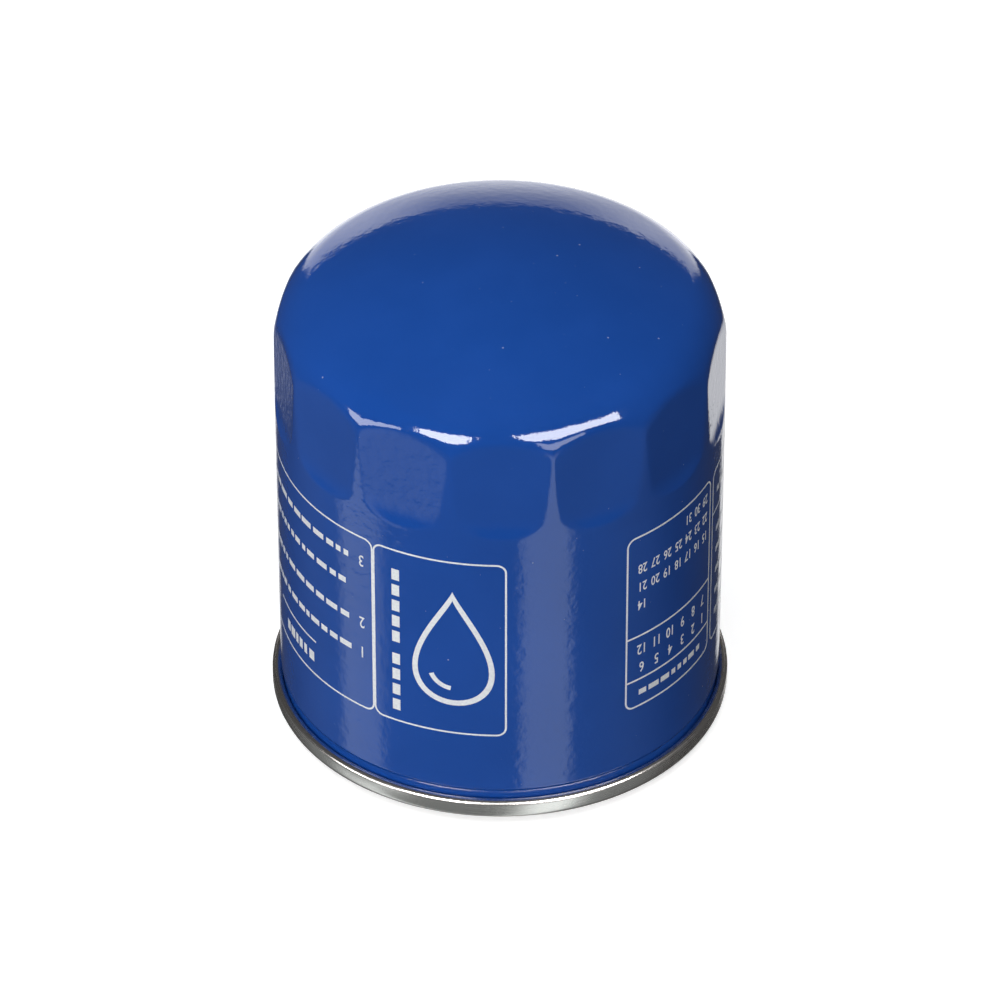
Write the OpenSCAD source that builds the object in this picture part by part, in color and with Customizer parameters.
// Spin-on oil filter, standing on its gasket with the dome up.
// Origin: centre of the gasket's sealing face. +Z runs along the axis, towards the dome.
// Lengths are in millimetres. Every round wall is a true circle.

/* [Can] */
// Outer diameter of the can's round wall
body_d = 77; // [76:0.5:78]
// Height from the gasket's sealing face to the top of the dome
overall_h = 91.3; // [90:0.1:94]
// Radius of the dome's crown
crown_r = 82; // [76:1:86]
// Radius of the shoulder that joins the wall to the crown
shoulder_r = 10; // [8:0.5:11]
// Thickness of the can's sheet steel
can_t = 0.5; // [0.4:0.05:0.55]

/* [Wrench flats] */
// Number of flats that a cap wrench grips
flat_count = 14; // [12:1:15]
// Distance across two opposite flats at their upper end
flats_top_w = 74.7; // [74.2:0.1:75.2]
// Distance across two opposite flats at their lower end
flats_low_w = 75.6; // [75.3:0.1:76.2]
// Height of the flats' lower end above the sealing face
flats_low_z = 63.2; // [60:0.1:66]
// Radius of the hollow where a flat runs out into the round wall
run_out_r = 4; // [3:0.5:6]

/* [Seam] */
// Height of the seam's lowest edge above the sealing face
seam_low_z = 1.5; // [1.2:0.1:1.6]
// Height of the rolled seam
seam_h = 3.9; // [3.7:0.1:4.1]
// How far the can is necked in above the seam
neck_step = 0.3; // [0.2:0.05:0.4]
// Thickness of the seam cover's sheet
cover_t = 0.5; // [0.4:0.05:0.5]
// Gap between neighbouring layers of sheet in the seam
layer_gap = 0.1; // [0.06:0.01:0.1]

/* [Gasket] */
// Outer diameter of the base gasket
gasket_od = 65; // [64:0.5:65.5]
// Inner diameter of the base gasket
gasket_id = 57; // [56:0.5:58]
// Height of the gasket, from the sealing face to the channel's floor
gasket_h = 5; // [4.9:0.1:5.2]

/* [Base plate] */
// Diameter of the thick plate that carries the thread
plate_d = 73; // [71:0.5:73.5]
// Thickness of the plate
plate_t = 3.2; // [2.8:0.1:3.6]
// Nominal diameter of the thread
thread_d = 20; // [18:1:20]
// Pitch of the thread
thread_pitch = 1.5; // [1:0.25:1.5]
// Outer diameter of the collar round the thread
collar_d = 25; // [24:0.5:25]
// Height of the collar above the plate
collar_h = 4.8; // [4.6:0.1:4.9]
// Number of oil inlet holes
inlet_count = 8; // [6:1:8]
// Diameter of an inlet hole
inlet_d = 6; // [5:0.5:6.5]
// Diameter of the circle that the inlet holes lie on
inlet_pcd = 40; // [39:0.5:41]

/* [Element] */
// Outer diameter of the element's end caps
cap_d = 66; // [65:0.5:67]
// Outer diameter of the perforated centre tube
tube_d = 33; // [32.5:0.1:33.5]
// Height of the pleated paper between its two adhesive beds
media_h = 50; // [46:1:52]
// Number of pleats in the paper
pleat_count = 46; // [36:1:50]
// Thickness of the filter paper
paper_t = 0.5; // [0.4:0.05:0.6]
// Depth of the adhesive in each end cap
bed_h = 2; // [1.5:0.1:2.5]

/* [Bypass valve] */
// Diameter of the opening that the bypass valve closes
bypass_port_d = 13; // [12:0.5:14]
// Diameter of the bypass disc
bypass_disc_d = 18.4; // [17:0.2:19]
// How far the bypass disc can open
bypass_travel = 3; // [2:0.5:4]
// Wire diameter of the bypass spring
bypass_wire = 0.9; // [0.7:0.1:1]

/* [Element spring] */
// Wire diameter of the spring that holds the element down
spring_wire = 1.6; // [1.2:0.1:1.8]
// Mean diameter of the spring's lower end
spring_low_d = 40; // [38:1:44]
// Mean diameter of the spring's upper end
spring_top_d = 23.6; // [23.4:0.1:25]

/* [Hidden] */
$fn = 96;

// Can: the shoulder's centre follows from the crown, which it meets without a crease
wall_r = body_d / 2;
crown_z = overall_h - crown_r;
shoulder_x = wall_r - shoulder_r;
shoulder_z = crown_z + sqrt(pow(crown_r - shoulder_r, 2) - pow(shoulder_x, 2));

// Flats lean inwards towards the dome; one ridge between two flats lies on the +X side of -Y
flats_h = shoulder_z + 5 - flats_low_z;
flats_lean = atan((flats_low_w - flats_top_w) / 2 / flats_h);
flat_step = 360 / flat_count;
flats_turn = 0.5;

// Neck below the round wall
neck_r = wall_r - neck_step;
neck_top_z = seam_low_z + seam_h + 1.8;
neck_low_z = neck_top_z - 0.6;

// Seam, from inside out: cover's wall, can's wall, cover's hook, can's hook, cover's skirt
can_hook_x = neck_r + 2 * layer_gap + cover_t;
can_bend_in = (can_hook_x - neck_r) / 2;
can_bend_x = neck_r + can_bend_in;
cover_bend_in = can_bend_in + can_t + layer_gap;
bend_z = seam_low_z + cover_bend_in + cover_t;
skirt_x = can_bend_x + cover_bend_in;
seam_r = skirt_x + cover_t;
cover_hook_x = neck_r + layer_gap;
top_bend_in = (skirt_x - cover_hook_x - cover_t) / 2;
top_bend_x = skirt_x - top_bend_in;
top_bend_z = seam_low_z + seam_h - top_bend_in - cover_t;
cover_wall_x = can_bend_x - cover_bend_in - cover_t;
can_hook_top = top_bend_z - 0.15;
cover_hook_low = bend_z + 0.35;

// Gasket channel, pressed into the cover
channel_play = 0.2;
channel_in_r = gasket_id / 2 - channel_play;
channel_out_r = gasket_od / 2 + channel_play;
rib_bend_in = 0.7;
rib_x = channel_out_r + cover_t + rib_bend_in;
rib_low_z = 2.4;
rib_z = rib_low_z + rib_bend_in + cover_t;
lip_z = 2.6;
lip_w = 1.5;

// Base plate
plate_z = gasket_h + cover_t;
plate_top = plate_z + plate_t;
collar_top = plate_top + collar_h;
thread_minor_r = thread_d / 2 - 0.54127 * thread_pitch;
thread_chamfer = 0.8;

// Anti-drain valve: a sleeve on the collar with a skirt that rests on the plate
sleeve_play = 0.1;
sleeve_r = collar_d / 2 + sleeve_play;
sleeve_low = collar_top - 2.3;
sleeve_top = collar_top - 0.1;
skirt_r = inlet_pcd / 2 + 7.5;
skirt_low = plate_top + 0.05;

// Filter element, from the lower end cap up
cap_t = 0.4;
cap_r = cap_d / 2;
cap_rim_h = 3.4;
cap_low = sleeve_top + 0.2;
bed_low = cap_low + cap_t;
media_low = bed_low + bed_h;
media_top = media_low + media_h;
cap_high = media_top + bed_h;
cap_top = cap_high + cap_t;
tube_r = tube_d / 2;
tube_t = 0.5;
media_in_r = tube_r + 1.5;
media_out_r = cap_r - 1.2;
neck_hole_r = collar_d / 2 + 0.7;
clip_t = 0.3;
clip_gap = 0.1;
clip_depth = 5;

// Bypass valve, hung in the upper end cap with its disc inside the centre tube
seat_t = 0.5;
seat_neck_r = 11.3;
seat_flange_r = 14;
seat_drop = 2.8;
seat_bead = 0.4;
seat_low = cap_top - seat_drop - seat_t;
seal_t = 1;
seal_top = seat_low - seat_bead - 0.05;
disc_t = 0.6;
disc_top = seal_top - seal_t;
disc_low = disc_top - disc_t;
stem_r = 1.8;
stem_head_r = 4.2;
stem_head_t = 0.4;
cage_t = 0.5;
cage_in_r = seat_neck_r + 0.05;
cage_floor = disc_low - 13;
cage_low = cage_floor - cage_t;
window_w = 12;
bypass_coil_r = 5;
bypass_turns = 5.5;

// Element spring and the seat that centres it under the dome
spring_seat_r = 15.5;
spring_seat_t = 0.5;
spring_seat_top = dome_under(spring_seat_r) - 0.6;
spring_seat_low = spring_seat_top - spring_seat_t;
spring_collar_r = 10;
spring_turns = 4.5;

// Height of the dome's inner skin at radius r
function dome_under(r) = crown_z + sqrt(pow(crown_r - can_t, 2) - r * r);

// ---------- helpers ----------

// A solid of revolution from its outline in the radius-height plane
module turned() rotate_extrude($fn = 96) children();

// Rectangle between two corners
module bar(x0, z0, x1, z1) translate([x0, z0]) square([x1 - x0, z1 - z0]);

// Sheet bent through a half turn about (x, z); up is true for a bend that bulges upwards
module half_bend(x, z, r, t, up) translate([x, z]) intersection() {
    difference() {
        circle(r = r + t);
        circle(r = r);
    }
    translate([-r - t, up ? 0 : -r - t]) square([2 * (r + t), r + t]);
}

// Height of a point on a coil, in wire-centre terms: its first and last turns lie almost flat
function coil_z(u, turns, rise, wire) =
    let (closed = wire * 0.55, open = (rise - 2 * closed) / (turns - 2))
    u < 1 ? closed * u : u > turns - 1 ? rise - closed * (turns - u) : closed + open * (u - 1);

// Round wire wound from radius r_low to r_top between the heights z_low and z_top
module coil(r_low, r_top, z_low, z_top, wire, turns, steps = 24, sides = 8) {
    last = ceil(turns * steps);
    rise = z_top - z_low - wire;
    rings = [
        for (i = [0 : last], k = [0 : sides - 1])
            let (
                u = turns * i / last,
                r = r_low + (r_top - r_low) * u / turns,
                z = z_low + wire / 2 + coil_z(u, turns, rise, wire),
                side = r + wire / 2 * cos(360 * k / sides)
            )
            [side * cos(360 * u), side * sin(360 * u), z + wire / 2 * sin(360 * k / sides)]
    ];
    walls = [
        for (i = [0 : last - 1], k = [0 : sides - 1])
            let (a = i * sides, b = a + sides, n = (k + 1) % sides)
            [a + k, a + n, b + n, b + k]
    ];
    start = [for (k = [sides - 1 : -1 : 0]) k];
    end = [for (k = [0 : sides - 1]) last * sides + k];
    polyhedron(points = rings, faces = concat(walls, [start, end]), convexity = 10);
}

// ---------- can ----------

// Half outline of the can's solid form, inset by the given amount and open down to floor_z
module can_outline(inset, floor_z) {
    far = 2 * crown_r;
    slope = (shoulder_z - crown_z) / shoulder_x;
    bar(0, floor_z, wall_r - inset, shoulder_z);
    translate([shoulder_x, shoulder_z]) circle(r = shoulder_r - inset);
    intersection() {
        translate([0, crown_z]) circle(r = crown_r - inset);
        polygon([[0, crown_z], [far / slope, crown_z + far], [0, crown_z + far]]);
    }
}

// What the press takes off the round can to make the flats, moved inwards by inset
module flat_cuts(inset) {
    width = wall_r;
    for (i = [0 : flat_count - 1])
        rotate([0, 0, -90 + flats_turn + i * flat_step])
            translate([flats_low_w / 2, 0, flats_low_z])
                rotate([0, -flats_lean, 0]) {
                    translate([-inset, -width / 2, 0]) cube([3 * run_out_r, width, 2 * flats_h]);
                    translate([run_out_r, 0, 0]) rotate([90, 0, 0])
                        cylinder(r = run_out_r + inset, h = width, center = true);
                }
}

// Neck, and the hook that the seam rolls outwards and up
module can_foot() {
    polygon([
        [wall_r - can_t, neck_top_z], [wall_r, neck_top_z],
        [neck_r, neck_low_z], [neck_r - can_t, neck_low_z]
    ]);
    bar(neck_r - can_t, bend_z, neck_r, neck_low_z);
    half_bend(can_bend_x, bend_z, can_bend_in, can_t, false);
    bar(can_hook_x, bend_z, can_hook_x + can_t, can_hook_top);
}

// Deep-drawn can: blue enamelled steel
module can_shell() color("#1c4aa8") {
    difference() {
        turned() can_outline(0, neck_top_z);
        flat_cuts(0);
        difference() {
            turned() can_outline(can_t, neck_top_z - 1);
            flat_cuts(can_t);
        }
    }
    turned() can_foot();
}

// Sheet cover: rolled seam at its rim, gasket channel in its middle, open centre
module seam_cover() color("#c9c8c2") turned() {
    panel_top = plate_z;
    panel_low = gasket_h;
    bar(cover_hook_x, cover_hook_low, cover_hook_x + cover_t, top_bend_z);
    half_bend(top_bend_x, top_bend_z, top_bend_in, cover_t, true);
    bar(skirt_x, bend_z, seam_r, top_bend_z);
    half_bend(can_bend_x, bend_z, cover_bend_in, cover_t, false);
    bar(cover_wall_x, bend_z, cover_wall_x + cover_t, panel_top);
    bar(rib_x + rib_bend_in, panel_low, cover_wall_x, panel_top);
    bar(rib_x + rib_bend_in, rib_z, rib_x + rib_bend_in + cover_t, panel_low);
    half_bend(rib_x, rib_z, rib_bend_in, cover_t, false);
    bar(channel_out_r, rib_z, channel_out_r + cover_t, panel_top);
    bar(channel_in_r, panel_low, channel_out_r, panel_top);
    bar(channel_in_r - cover_t, lip_z, channel_in_r, panel_top);
    bar(channel_in_r - cover_t - lip_w, lip_z, channel_in_r - cover_t, lip_z + cover_t);
}

// Two beads of lining compound in the seam: under the cover's hook and over the can's hook
module seam_compound() color("#3b3a38") turned() {
    play = 0.03;
    low_w = 0.75 * can_bend_in;
    top_w = 0.75 * top_bend_in;
    bar(can_bend_x - low_w, bend_z - 0.55 * can_bend_in, can_bend_x + low_w, cover_hook_low - play);
    bar(top_bend_x - top_w, can_hook_top + play, top_bend_x + top_w, top_bend_z + 0.55 * top_bend_in);
}

// Moulded rubber sealing ring with chamfered edges
module base_gasket() color("#1b1b1c") turned() {
    r0 = gasket_id / 2;
    r1 = gasket_od / 2;
    c = 0.4;
    polygon([
        [r0 + c, 0], [r1 - c, 0], [r1, c], [r1, gasket_h - c],
        [r1 - c, gasket_h], [r0 + c, gasket_h], [r0, gasket_h - c], [r0, c]
    ]);
}

// Thick plate: threaded collar in the middle, a ring of inlet holes round it
module base_plate() color("#8d8f92") difference() {
    union() {
        translate([0, 0, plate_z]) cylinder(d = plate_d, h = plate_t);
        translate([0, 0, plate_z]) cylinder(d = collar_d, h = plate_t + collar_h);
    }
    translate([0, 0, plate_z - 1]) cylinder(r = thread_minor_r, h = plate_t + collar_h + 2);
    translate([0, 0, plate_z])
        cylinder(r1 = thread_minor_r + thread_chamfer, r2 = thread_minor_r, h = thread_chamfer);
    translate([0, 0, collar_top - thread_chamfer])
        cylinder(r1 = thread_minor_r, r2 = thread_minor_r + thread_chamfer, h = thread_chamfer);
    for (i = [0 : inlet_count - 1])
        rotate([0, 0, i * 360 / inlet_count])
            translate([inlet_pcd / 2, 0, plate_z - 1]) cylinder(d = inlet_d, h = plate_t + 2);
}

// Rubber diaphragm: oil lifts its skirt on the way in, and cannot drain back
module anti_drain_valve() color("#2a2623") turned() polygon([
    [sleeve_r, sleeve_low], [sleeve_r + 2, sleeve_low], [sleeve_r + 3, sleeve_low + 0.4],
    [skirt_r - 2.2, skirt_low + 0.5], [skirt_r - 1.5, skirt_low], [skirt_r, skirt_low],
    [skirt_r, skirt_low + 0.8], [skirt_r - 0.9, skirt_low + 1.5],
    [sleeve_r + 3, sleeve_low + 1.7], [sleeve_r + 2.6, sleeve_top], [sleeve_r, sleeve_top]
]);

// ---------- element ----------

// Pressed cup with its floor from z to z + cap_t and its rim upwards, open to radius hole_r
module end_cup(z, hole_r) turned() {
    bar(hole_r, z, cap_r, z + cap_t);
    bar(cap_r - cap_t, z, cap_r, z + cap_rim_h);
}

// Lower end cap, with a short neck that oil leaves through
module lower_end_cap() color("#b9bab6") {
    end_cup(cap_low, neck_hole_r);
    turned() bar(neck_hole_r, cap_low, neck_hole_r + cap_t, media_low);
}

// Upper end cap: the same cup turned over, with a hole for the bypass valve
module upper_end_cap() color("#b9bab6") translate([0, 0, cap_top]) mirror([0, 0, 1])
    end_cup(0, seat_neck_r + 0.1);

// Ring of cured adhesive between the tube and the cap's rim
module adhesive_bed(z) color("#5c2f22") turned()
    bar(tube_r + 0.05, z, cap_r - cap_t - 0.1, z + bed_h);

module lower_adhesive() adhesive_bed(bed_low);
module upper_adhesive() adhesive_bed(media_top);

// Corners of one face of the folded paper; side is -1 for the face towards the axis, +1 outwards
function paper_face(side) = [
    for (i = [0 : pleat_count - 1])
        let (
            half = 180 / pleat_count,
            mid = -90 + i * 2 * half,
            a = mid - half / 2,
            b = mid + half / 2,
            c = mid + half,
            out = media_out_r + (side - 1) / 2 * paper_t,
            in = media_in_r + (side + 1) / 2 * paper_t,
            turn_out = side * paper_t / 2 / out * 180 / PI,
            turn_in = side * paper_t / 2 / in * 180 / PI,
            ease = 0.5
        )
        each [
            polar(out - ease, a - turn_out), polar(out, mid), polar(out - ease, b + turn_out),
            polar(in + ease, b + turn_in), polar(in, c), polar(in + ease, c + half / 2 - turn_in)
        ]
];
function polar(r, a) = [r * cos(a), r * sin(a)];

// Folded filter paper; its two free ends meet at -Y, where the clip joins them
module pleated_media() color("#c9a15a") difference() {
    translate([0, 0, media_low]) linear_extrude(media_h) difference() {
        polygon(paper_face(1));
        polygon(paper_face(-1));
    }
    translate([-0.2, -media_out_r - 1, media_low - 1]) cube([0.4, 2.5, media_h + 2]);
}

// Steel strip folded over the paper's two ends
module media_clip() color("#a8aaac") translate([0, 0, media_low]) linear_extrude(media_h) {
    half_w = media_out_r * sin(90 / pleat_count) + paper_t / 2 + clip_gap;
    back = -media_out_r - clip_gap;
    difference() {
        translate([-half_w - clip_t, back - clip_t]) square([2 * (half_w + clip_t), clip_depth]);
        translate([-half_w, back]) square([2 * half_w, clip_depth]);
    }
}

// Perforated steel tube that carries the paper; rows of holes are staggered
module centre_tube() color("#a9acae") difference() {
    hole_d = 4;
    rows = 7;
    across = 4;
    row_gap = media_h / rows;
    translate([0, 0, bed_low]) difference() {
        cylinder(r = tube_r, h = cap_high - bed_low);
        translate([0, 0, -1]) cylinder(r = tube_r - tube_t, h = cap_high - bed_low + 2);
    }
    for (row = [0 : rows - 1], i = [0 : across - 1])
        translate([0, 0, media_low + (row + 0.5) * row_gap])
            rotate([0, 0, (i + row % 2 / 2) * 180 / across])
                rotate([90, 0, 0]) cylinder(d = hole_d, h = 3 * tube_r, center = true);
}

// ---------- bypass valve ----------

// Pressed seat: it hangs in the upper end cap, and its bead faces down
module bypass_seat() color("#b5b08f") turned() {
    port_r = bypass_port_d / 2;
    bar(seat_neck_r - seat_t, cap_top, seat_flange_r, cap_top + seat_t);
    bar(seat_neck_r - seat_t, seat_low, seat_neck_r, cap_top + seat_t);
    bar(port_r, seat_low, seat_neck_r, seat_low + seat_t);
    bar(port_r, seat_low - seat_bead, port_r + seat_t, seat_low);
}

// Pressed cage: four legs carry a floor, which guides the stem and backs the spring
module bypass_cage() color("#b5b08f") difference() {
    outer_r = cage_in_r + cage_t;
    rim_z = seat_low + seat_drop - 0.4;
    window_top = disc_low - 0.6;
    translate([0, 0, cage_low]) cylinder(r = outer_r, h = rim_z - cage_low);
    translate([0, 0, cage_floor]) cylinder(r = cage_in_r, h = rim_z);
    translate([0, 0, cage_low - 1]) cylinder(r = stem_r + 0.1, h = 3);
    for (i = [0 : 1])
        rotate([0, 0, i * 90])
            translate([-window_w / 2, -outer_r - 1, cage_floor + 1.5])
                cube([window_w, 2 * outer_r + 2, window_top - cage_floor - 1.5]);
    for (i = [0 : 3])
        rotate([0, 0, 45 + i * 90]) translate([7.6, 0, cage_low - 1]) cylinder(d = 3.4, h = 3);
}

// Flat steel disc that carries the rubber seal
module bypass_disc() color("#9fa3a6") translate([0, 0, disc_low]) difference() {
    cylinder(d = bypass_disc_d, h = disc_t);
    translate([0, 0, -1]) cylinder(r = stem_r, h = disc_t + 2);
}

// Rubber washer that closes on the seat's bead
module bypass_seal() color("#26221f") translate([0, 0, disc_top]) difference() {
    cylinder(d = bypass_disc_d - 0.6, h = seal_t);
    translate([0, 0, -1]) cylinder(r = stem_r, h = seal_t + 2);
}

// Headed stem: it holds the seal and the disc together and slides in the cage's floor
module bypass_stem() color("#8b8f92") {
    translate([0, 0, seal_top]) cylinder(r = stem_head_r, h = stem_head_t);
    translate([0, 0, cage_low - 1.2]) cylinder(r = stem_r, h = seal_top - cage_low + 1.2);
}

// Coil that holds the bypass disc on its seat
module bypass_spring() color("#c7c9cb")
    coil(bypass_coil_r, bypass_coil_r, cage_floor, disc_low, bypass_wire, bypass_turns, 20);

// ---------- spring under the dome ----------

// Coned coil that presses the element onto the anti-drain valve
module element_spring() color("#c7c9cb")
    coil(spring_low_d / 2, spring_top_d / 2, cap_top, spring_seat_low, spring_wire, spring_turns, 28);

// Pressed seat that bears on the dome's inner skin and centres the coil
module spring_seat() color("#b9bab6") turned() {
    bar(spring_collar_r - spring_seat_t, spring_seat_low, spring_seat_r, spring_seat_top);
    bar(spring_seat_r - spring_seat_t, spring_seat_low, spring_seat_r, dome_under(spring_seat_r) - 0.02);
    bar(spring_collar_r - spring_seat_t, spring_seat_low - 1.5, spring_collar_r, spring_seat_top);
}

can_shell();
base_plate();
seam_cover();
seam_compound();
base_gasket();
anti_drain_valve();
lower_end_cap();
lower_adhesive();
pleated_media();
media_clip();
centre_tube();
upper_adhesive();
upper_end_cap();
bypass_seat();
bypass_cage();
bypass_spring();
bypass_disc();
bypass_seal();
bypass_stem();
element_spring();
spring_seat();
